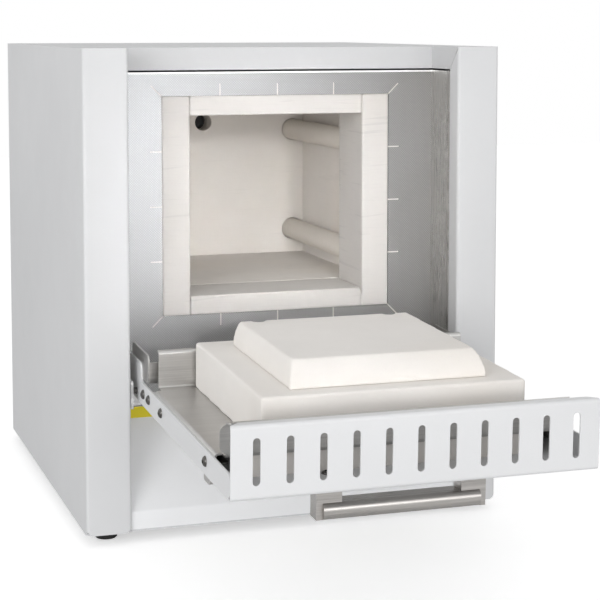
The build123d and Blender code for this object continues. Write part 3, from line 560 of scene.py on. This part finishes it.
def slit_packing(material):
    """Fibre that shows flush in the relief slits of the front plate."""
    low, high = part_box("collar_left")[0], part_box("collar_right")[1]
    inset, thick, diagonal = 0.0004, 0.0014, math.radians(45)
    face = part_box("front_plate")[0][1] + inset
    width, height = high[0] - low[0], high[2] - low[2]
    centre = Vector(((low[0] + high[0]) / 2, 0, (low[2] + high[2]) / 2))
    slit, long_slit, thin, corner_lap = 0.0136, 0.019, 0.0019, 0.0004
    strips = []
    for side in (-1, 1):
        for step in (-1, 0, 1):
            strips.append((step * width / 4, side * (height + slit) / 2, thin, slit, 0))
            strips.append((side * (width + slit) / 2, step * height / 4, slit, thin, 0))
        for rise in (-1, 1):
            reach = long_slit / 2 * math.cos(diagonal) - corner_lap
            turn = diagonal * side * rise
            x, z = side * (width / 2 + reach), rise * (height / 2 + reach)
            strips.append((x, z, long_slit, thin, turn))
    points = []
    faces = []
    for x, z, wide, tall, turn in strips:
        first = len(points)
        for depth in (0.0, thick):
            for along, across in ((-1, -1), (1, -1), (1, 1), (-1, 1)):
                local = Vector((along * wide / 2, 0, across * tall / 2))
                local.rotate(Matrix.Rotation(-turn, 3, "Y"))
                points.append(centre + Vector((x, face + depth, z)) + local)
        near = [first + i for i in range(4)]
        far = [first + 4 + i for i in range(4)]
        faces.append(near)
        faces.append(far[::-1])
        faces.extend((near[i - 1], far[i - 1], far[i], near[i]) for i in range(4))
    return mesh_object("slit_packing", points, faces, material)


# --- screws ---------------------------------------------------------------------------


def screw_tree():
    """Geometry nodes: a domed screw head with a six-sided socket at every point."""
    tree = bpy.data.node_groups.new("Button head screws", "GeometryNodeTree")
    face = tree.interface
    face.new_socket("Geometry", in_out="INPUT", socket_type="NodeSocketGeometry")
    for label, default in (("Head radius", 0.0055), ("Head height", 0.0034), ("Socket", 0.0022)):
        socket = face.new_socket(label, in_out="INPUT", socket_type="NodeSocketFloat")
        socket.default_value = default
    face.new_socket("Turn", in_out="INPUT", socket_type="NodeSocketVector")
    face.new_socket("Material", in_out="INPUT", socket_type="NodeSocketMaterial")
    face.new_socket("Geometry", in_out="OUTPUT", socket_type="NodeSocketGeometry")
    add = tree.nodes.new
    link = tree.links.new
    given = add("NodeGroupInput").outputs

    # The dome is a sphere squeezed to the head's height and cut off at its seat.
    dome = add("GeometryNodeMeshUVSphere")
    dome.inputs["Segments"].default_value = 32
    dome.inputs["Rings"].default_value = 18
    link(given["Head radius"], dome.inputs["Radius"])
    ratio = add("ShaderNodeMath")
    ratio.operation = "DIVIDE"
    link(given["Head height"], ratio.inputs[0])
    link(given["Head radius"], ratio.inputs[1])
    squeeze = add("ShaderNodeCombineXYZ")
    squeeze.inputs["X"].default_value = 1
    squeeze.inputs["Y"].default_value = 1
    link(ratio.outputs[0], squeeze.inputs["Z"])
    flat = add("GeometryNodeTransform")
    link(dome.outputs["Mesh"], flat.inputs["Geometry"])
    link(squeeze.outputs[0], flat.inputs["Scale"])

    # Everything below the seat is pressed up to it.
    where = add("GeometryNodeInputPosition")
    parts = add("ShaderNodeSeparateXYZ")
    link(where.outputs[0], parts.inputs[0])
    clamp = add("ShaderNodeMath")
    clamp.operation = "MAXIMUM"
    clamp.inputs[1].default_value = 0
    link(parts.outputs["Z"], clamp.inputs[0])
    joined = add("ShaderNodeCombineXYZ")
    link(parts.outputs["X"], joined.inputs["X"])
    link(parts.outputs["Y"], joined.inputs["Y"])
    link(clamp.outputs[0], joined.inputs["Z"])
    seat = add("GeometryNodeSetPosition")
    link(flat.outputs["Geometry"], seat.inputs["Geometry"])
    link(joined.outputs[0], seat.inputs["Position"])

    socket = add("GeometryNodeMeshCylinder")
    socket.inputs["Vertices"].default_value = 6
    link(given["Socket"], socket.inputs["Radius"])
    link(given["Head height"], socket.inputs["Depth"])
    lift = add("GeometryNodeTransform")
    rise = add("ShaderNodeCombineXYZ")
    link(given["Head height"], rise.inputs["Z"])
    link(socket.outputs["Mesh"], lift.inputs["Geometry"])
    link(rise.outputs[0], lift.inputs["Translation"])
    cut = add("GeometryNodeMeshBoolean")
    cut.operation = "DIFFERENCE"
    link(seat.outputs["Geometry"], cut.inputs["Mesh 1"])
    link(lift.outputs["Geometry"], cut.inputs["Mesh 2"])

    place = add("GeometryNodeInstanceOnPoints")
    points = add("GeometryNodeMeshToPoints")
    link(given["Geometry"], points.inputs["Mesh"])
    link(points.outputs["Points"], place.inputs["Points"])
    link(cut.outputs["Mesh"], place.inputs["Instance"])
    # each screw stops at its own angle
    seed = add("FunctionNodeRandomValue")
    seed.data_type = "FLOAT"
    seed.inputs["Seed"].default_value = 7
    for socket_name, value in (("Min", 0.0), ("Max", 1.0)):
        for socket in seed.inputs:
            if socket.name == socket_name and socket.type == "VALUE":
                socket.default_value = value
    spin = add("ShaderNodeCombineXYZ")
    link(next(out for out in seed.outputs if out.type == "VALUE"), spin.inputs["Z"])
    turned = add("FunctionNodeRotateEuler")
    turned.rotation_type = "EULER"
    turned.space = "LOCAL"
    link(given["Turn"], turned.inputs["Rotation"])
    link(spin.outputs[0], turned.inputs["Rotate By"])
    link(turned.outputs[0], place.inputs["Rotation"])
    real = add("GeometryNodeRealizeInstances")
    link(place.outputs["Instances"], real.inputs["Geometry"])
    colour = add("GeometryNodeSetMaterial")
    link(real.outputs["Geometry"], colour.inputs["Geometry"])
    link(given["Material"], colour.inputs["Material"])
    link(colour.outputs["Geometry"], add("NodeGroupOutput").inputs["Geometry"])
    return tree


def grown(tree, name, points, material, values):
    """Runs a node tree over a cloud of points and gives the plain mesh it makes."""
    mesh = bpy.data.meshes.new(name + "_points")
    mesh.from_pydata([tuple(point) for point in points], [], [])
    seedbed = bpy.data.objects.new(name + "_points", mesh)
    bpy.context.scene.collection.objects.link(seedbed)
    modifier = seedbed.modifiers.new("Repeat", "NODES")
    modifier.node_group = tree
    given = [item for item in tree.interface.items_tree if item.in_out == "INPUT"]
    sockets = {item.name: item.identifier for item in given}
    for label, value in values.items():
        modifier[sockets[label]] = value
    modifier[sockets["Material"]] = material
    return baked(seedbed, name, material)


def node_islands(name):
    """The middle of each separate solid in a frame node."""
    mesh = nodes[name].data
    home = list(range(len(mesh.vertices)))

    def root(index):
        while home[index] != index:
            home[index] = home[home[index]]
            index = home[index]
        return index

    # corners at one place belong together
    first_at = {}
    for vertex in mesh.vertices:
        key = tuple(round(value, 6) for value in vertex.co)
        if key in first_at:
            home[root(vertex.index)] = root(first_at[key])
        else:
            first_at[key] = vertex.index
    for edge in mesh.edges:
        home[root(edge.vertices[0])] = root(edge.vertices[1])
    groups = {}
    for vertex in mesh.vertices:
        groups.setdefault(root(vertex.index), []).append(vertex.co.copy())
    return list(groups.values())


def middle(points, axis):
    """The point midway along one axis of a group, and the group's reach along it."""
    low = Vector([min(point[i] for point in points) for i in range(3)])
    high = Vector([max(point[i] for point in points) for i in range(3)])
    centre = (low + high) / 2
    return centre, low[axis], high[axis]


# --- operators ------------------------------------------------------------------------


class FURNACE_OT_sheet_metal(bpy.types.Operator):
    """Paint, stainless, zinc and aluminium of the sheet-metal pieces"""

    bl_idname = "furnace.sheet_metal"
    bl_label = "Sheet metal"

    def execute(self, context):
        chosen = context.scene.furnace_finish
        dress("painted_side", powder_coat("Casing paint", chosen.paint, 0.5))
        # painted shade: the cover is the casing paint made 0.93 times as light, a shaded copy for
        # the top and the header
        dress("painted_cover", powder_coat("Cover paint", shade(chosen.paint, 0.93), 0.5))
        # painted light: the fascia is the casing paint made 1.32 times as light, standing in for
        # light that the door above it keeps off
        fascia = powder_coat("Fascia paint", shade(chosen.paint, 1.32), 0.42, 1100.0)
        dress("painted_fascia", fascia)
        dress("painted_door", powder_coat("Door paint", chosen.door_paint, 0.4, 1500.0))
        dress("yellow_band", powder_coat("Band paint", chosen.band, 0.4, 1500.0))
        dress("stainless", brushed("Plain stainless", shade(chosen.steel, 1.1), "Z", 0.27))
        liner = brushed("Brushed liner", shade(chosen.steel, 0.92), "X", 0.34, 0.14, 0.12)
        dress("liner_steel", liner)
        dress("handle_steel", brushed("Dark brushed handle", (0.5, 0.48, 0.46), "X", 0.3, 0.16))
        dress("bracket_steel", galvanised("Bracket zinc", (0.66, 0.66, 0.66)))
        dress("zinc_sheet", galvanised("Jacket zinc", (0.55, 0.56, 0.57)))
        plate_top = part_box("front_plate")[1][2]
        # the dim colour at the lower right and the painted sheen colour at the upper left, the two
        # ends of the painted reflection
        dull = shade(chosen.steel, 0.62)
        plate = embossed("Embossed stainless", dull, (0.64, 0.65, 0.66), plate_top)
        dress("embossed_steel", plate)
        dress("sink_aluminium", brushed("Extruded aluminium", (0.7, 0.71, 0.73), "Y", 0.4))
        dress("element_metal", heated_wire("Element wire", (0.3, 0.28, 0.27)))
        dress("screw_steel", brushed("Screw steel", (0.13, 0.125, 0.12), "Z", 0.22, 0.1))
        # the flue is painted near-black inside
        flue = flue_steel("Flue dark inside", (0.5, 0.48, 0.45))
        nodes["flue_spigot"].material_slots[0].material = flue
        folded = ("side_panel_left", "side_panel_right", "top_cover", "door_shell")
        eased(folded, 0.0004)
        eased(("control_fascia", "front_rail", "sill_strip"), 0.0003)
        eased(("door_liner", "liner_ears", "hinge_bracket_left", "hinge_bracket_right"), 0.0004)
        eased(("handle_bar",), 0.0012, 3)
        eased(("handle_posts",), 0.0008)
        return {"FINISHED"}


class FURNACE_OT_fibre(bpy.types.Operator):
    """Collar, chamber lining, door slab and plug in ceramic fibre"""

    bl_idname = "furnace.fibre"
    bl_label = "Ceramic fibre"

    def execute(self, context):
        chosen = context.scene.furnace_finish
        # lit and shaded copies of one fibre colour: the collar is painted darker, as painted
        # shade, and the lining lighter, as painted light in the chamber
        collar = fibre("Machined collar fibre", shade(chosen.wool, 0.87), 1.0)
        lining = fibre("Lining board", shade(chosen.wool, 1.15), 0.4)
        slab = fibre("Cast door fibre", shade(chosen.wool, 1.07), 0.0)
        dress("fibre_collar", collar)
        dress("fibre_board", lining)
        dress("fibre_slab", slab)
        dress("ceramic_tube", ceramic("Unglazed tube", (0.88, 0.84, 0.78)))
        boards = ("insulation_floor", "insulation_roof", "insulation_left", "insulation_right")
        eased(boards, 0.0008)

        left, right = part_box("collar_left"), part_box("collar_right")
        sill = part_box("collar_bottom")[1][2]
        corners = (
            Vector((left[1][0], left[0][1], sill)),
            Vector((right[0][0], right[0][1], sill)),
        )
        chip_reach, chip_depth = 0.011, 0.0035
        for index, side in enumerate(("left", "right", "top", "bottom")):
            node = "collar_" + side
            piece = softened(node, "fibre_collar_" + side, collar, 0.8 * chosen.voxel, 1)
            roughened(piece, 0.0002, 40.0, index + 1)
            for turn, corner in enumerate(corners):
                chipped(piece, corner, chip_reach, chip_depth, index + 4 * turn)
            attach(piece, "housing")
            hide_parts(node)

        packing = slit_packing(collar)
        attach(packing, "housing")

        for node, name in (("door_slab", "fibre_slab"), ("door_plug", "fibre_plug")):
            piece = softened(node, name, slab, 0.9 * chosen.voxel, 1)
            roughened(piece, 0.0003, 22.0, 2)
            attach(piece, "door")
            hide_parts(node)
        return {"FINISHED"}


class FURNACE_OT_screws(bpy.types.Operator):
    """Button-head screws of the door's arms, the handle and the rear wall"""

    bl_idname = "furnace.screws"
    bl_label = "Screws"

    def execute(self, context):
        tree = screw_tree()
        steel = finish_of("screw_steel")
        lean = math.atan2(DOOR_UP.y, DOOR_UP.z)
        sides = {"left": [], "right": []}
        for island in node_islands("arm_screws"):
            centre, low, high = middle(island, 0)
            side = "left" if centre.x < 0 else "right"
            outer = low if side == "left" else high
            sides[side].append(Vector((outer - math.copysign(0.0034, outer), centre.y, centre.z)))
        turns = {"left": (0, -math.pi / 2, 0), "right": (0, math.pi / 2, 0)}
        for side, points in sides.items():
            values = {"Head radius": 0.0058, "Head height": 0.0036, "Turn": turns[side]}
            piece = grown(tree, "arm_screw_heads_" + side, points, steel, values)
            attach(piece, "door")
            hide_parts("arm_screws")

        points = []
        for island in node_islands("handle_screws"):
            centre, low, high = middle(island, 2)
            points.append(Vector((centre.x, centre.y, high)) - DOOR_UP * 0.0034)
        values = {"Head radius": 0.0055, "Head height": 0.0034, "Turn": (-lean, 0, 0)}
        piece = grown(tree, "handle_screw_heads", points, steel, values)
        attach(piece, "door")
        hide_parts("handle_screws")

        points = []
        for island in node_islands("rear_screws"):
            centre, low, high = middle(island, 1)
            points.append(Vector((centre.x, low, centre.z)))
        values = {"Head radius": 0.0046, "Head height": 0.0026, "Socket": 0.0018}
        values["Turn"] = (-math.pi / 2, 0, 0)
        piece = grown(tree, "rear_screw_heads", points, steel, values)
        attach(piece, "housing")
        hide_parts("rear_screws")
        return {"FINISHED"}


class FURNACE_OT_fittings(bpy.types.Operator):
    """Controls, feet, gland and the electrics in plastic and rubber"""

    bl_idname = "furnace.fittings"
    bl_label = "Fittings"

    def execute(self, context):
        dress("black_plastic", moulded("Black plastic", (0.03, 0.03, 0.032), 0.5))
        dress("controller_plastic", moulded("Controller plastic", (0.085, 0.09, 0.095), 0.48))
        keypad = moulded("Keypad membrane", (0.34, 0.36, 0.38), 0.42, 1500.0, 0.00003)
        dress("keypad_membrane", keypad)
        rocker = moulded("Rocker plastic", (0.02, 0.02, 0.022), 0.22, 300.0, 0.00001)
        dress("rocker_plastic", rocker)
        dress("foot_rubber", moulded("Foot rubber", (0.018, 0.018, 0.018), 0.75, 500.0, 0.0001))
        dress("display_glass", window_glass("Display glass", (0.012, 0.016, 0.018)))
        eased(("feet",), 0.0008)
        eased(("controller_housing", "mains_switch_frame", "mains_switch_rocker"), 0.0003)
        return {"FINISHED"}


class FURNACE_OT_studio(bpy.types.Operator):
    """Pale floor, soft lamps and the camera"""

    bl_idname = "furnace.studio"
    bl_label = "Studio"

    def execute(self, context):
        chosen = context.scene.furnace_studio
        scene = context.scene
        scene.view_settings.view_transform = "Standard"

        floor_glow = 0.5
        ground = Finish("Studio floor")
        broad = ground.noise(2.0, 2.0)
        fine = ground.noise(300.0, 2.0)
        tone = ground.blend(ground.spread(broad, 0, 1), (0.8, 0.8, 0.8), (0.83, 0.83, 0.83))
        ground.finish(tone, ground.spread(broad, 0.55, 0.65), ground.bump(fine, 0.0001, 0.2))
        glow = ground.node("ShaderNodeEmission")
        both = ground.node("ShaderNodeAddShader")
        path = ground.node("ShaderNodeLightPath").outputs
        lit = ground.node("ShaderNodeMath", operation="MULTIPLY")
        lit.inputs[1].default_value = floor_glow
        ground.link(path["Is Camera Ray"], lit.inputs[0])
        ground.link(lit.outputs[0], glow.inputs["Strength"])
        ground.link(ground.surface.outputs[0], both.inputs[0])
        ground.link(glow.outputs[0], both.inputs[1])
        output = next(n for n in ground.tree.nodes if n.type == "OUTPUT_MATERIAL")
        ground.link(both.outputs[0], output.inputs["Surface"])
        reach = 6.0
        grid = [(x * reach, y * reach, 0) for x, y in ((-1, -1), (1, -1), (1, 1), (-1, 1))]
        mesh_object("studio_floor", grid, [(0, 1, 2, 3)], ground.material)

        world = bpy.data.worlds.new("Studio room")
        world.use_nodes = True
        tree = world.node_tree
        tree.nodes.clear()
        add = tree.nodes.new
        room = add("ShaderNodeBackground")
        room.inputs["Strength"].default_value = chosen.room
        white = add("ShaderNodeBackground")
        white.inputs["Color"].default_value = (1, 1, 1, 1)
        paths = add("ShaderNodeLightPath").outputs
        seen = add("ShaderNodeMath")
        seen.operation = "MAXIMUM"
        tree.links.new(paths["Is Camera Ray"], seen.inputs[0])
        tree.links.new(paths["Is Transmission Ray"], seen.inputs[1])
        also = add("ShaderNodeMath")
        also.operation = "MAXIMUM"
        tree.links.new(seen.outputs[0], also.inputs[0])
        tree.links.new(paths["Is Glossy Ray"], also.inputs[1])
        mix = add("ShaderNodeMixShader")
        tree.links.new(also.outputs[0], mix.inputs["Fac"])
        tree.links.new(room.outputs[0], mix.inputs[1])
        tree.links.new(white.outputs[0], mix.inputs[2])
        tree.links.new(mix.outputs[0], add("ShaderNodeOutputWorld").inputs["Surface"])
        scene.world = world

        aim = Vector((0, 0.0, 0.3))
        lamps = (
            ("Front", chosen.key, (0.1, -3.2, 0.75), 2.2, 1.2),
            ("Side", chosen.side, (-2.3, -2.3, 1.0), 1.6, 1.6),
            ("Low", chosen.low, (0.0, -3.0, 0.3), 3.0, 0.5),
        )
        for name, power, spot, width, height in lamps:
            data = bpy.data.lights.new(name, "AREA")
            data.shape = "RECTANGLE"
            data.size = width
            data.size_y = height
            data.energy = power
            lamp = bpy.data.objects.new(name, data)
            place = Vector(spot)
            turn = (aim - place).to_track_quat("-Z", "Y").to_matrix().to_4x4()
            lamp.matrix_world = Matrix.Translation(place) @ turn
            scene.collection.objects.link(lamp)

        # two narrow beams reach into the chamber
        back, wall = Vector((0.0, 0.3, 0.34)), Vector((0.08, 0.2, 0.36))
        beams = (
            ("Chamber", chosen.mouth, Vector((-0.1, -1.9, 0.72)), back),
            ("Chamber side", chosen.mouth / 2, Vector((-1.0, -1.6, 0.75)), wall),
        )
        beam_size, beam_spread = 0.3, math.radians(10)
        for name, power, place, target in beams:
            data = bpy.data.lights.new(name, "AREA")
            data.shape = "SQUARE"
            data.size = beam_size
            data.spread = beam_spread
            data.energy = power
            lamp = bpy.data.objects.new(name, data)
            turn = (target - place).to_track_quat("-Z", "Y").to_matrix().to_4x4()
            lamp.matrix_world = Matrix.Translation(place) @ turn
            scene.collection.objects.link(lamp)

        data = bpy.data.cameras.new("Camera")
        data.sensor_width = 36
        data.lens = chosen.lens
        data.shift_y = -0.22
        camera = bpy.data.objects.new("Camera", data)
        camera.location = (-0.6412, -1.9556, 0.6185)
        camera.rotation_euler = (math.pi / 2 - 0.08378, 0, -0.31761)
        scene.collection.objects.link(camera)
        scene.camera = camera
        return {"FINISHED"}


class FURNACE_PT_panel(bpy.types.Panel):
    """Buttons for each group of the furnace"""

    bl_label = "Muffle furnace"
    bl_space_type = "VIEW_3D"
    bl_region_type = "UI"
    bl_category = "Furnace"

    def draw(self, context):
        for group in (context.scene.furnace_finish, context.scene.furnace_studio):
            for name in group.__annotations__:
                self.layout.prop(group, name)
        for operator in OPERATORS:
            self.layout.operator(operator.bl_idname)


OPERATORS = (
    FURNACE_OT_sheet_metal,
    FURNACE_OT_fibre,
    FURNACE_OT_screws,
    FURNACE_OT_fittings,
    FURNACE_OT_studio,
)
CLASSES = (FurnaceFinish, FurnaceStudio, *OPERATORS, FURNACE_PT_panel)


def register():
    for cls in CLASSES:
        bpy.utils.register_class(cls)
    bpy.types.Scene.furnace_finish = PointerProperty(type=FurnaceFinish)
    bpy.types.Scene.furnace_studio = PointerProperty(type=FurnaceStudio)


def unregister():
    del bpy.types.Scene.furnace_studio
    del bpy.types.Scene.furnace_finish
    for cls in reversed(CLASSES):
        bpy.utils.unregister_class(cls)


def main():
    """Dresses the whole furnace."""
    register()
    for step in ("sheet_metal", "fibre", "screws", "fittings", "studio"):
        getattr(bpy.ops.furnace, step)()


if __name__ == "__main__":
    main()
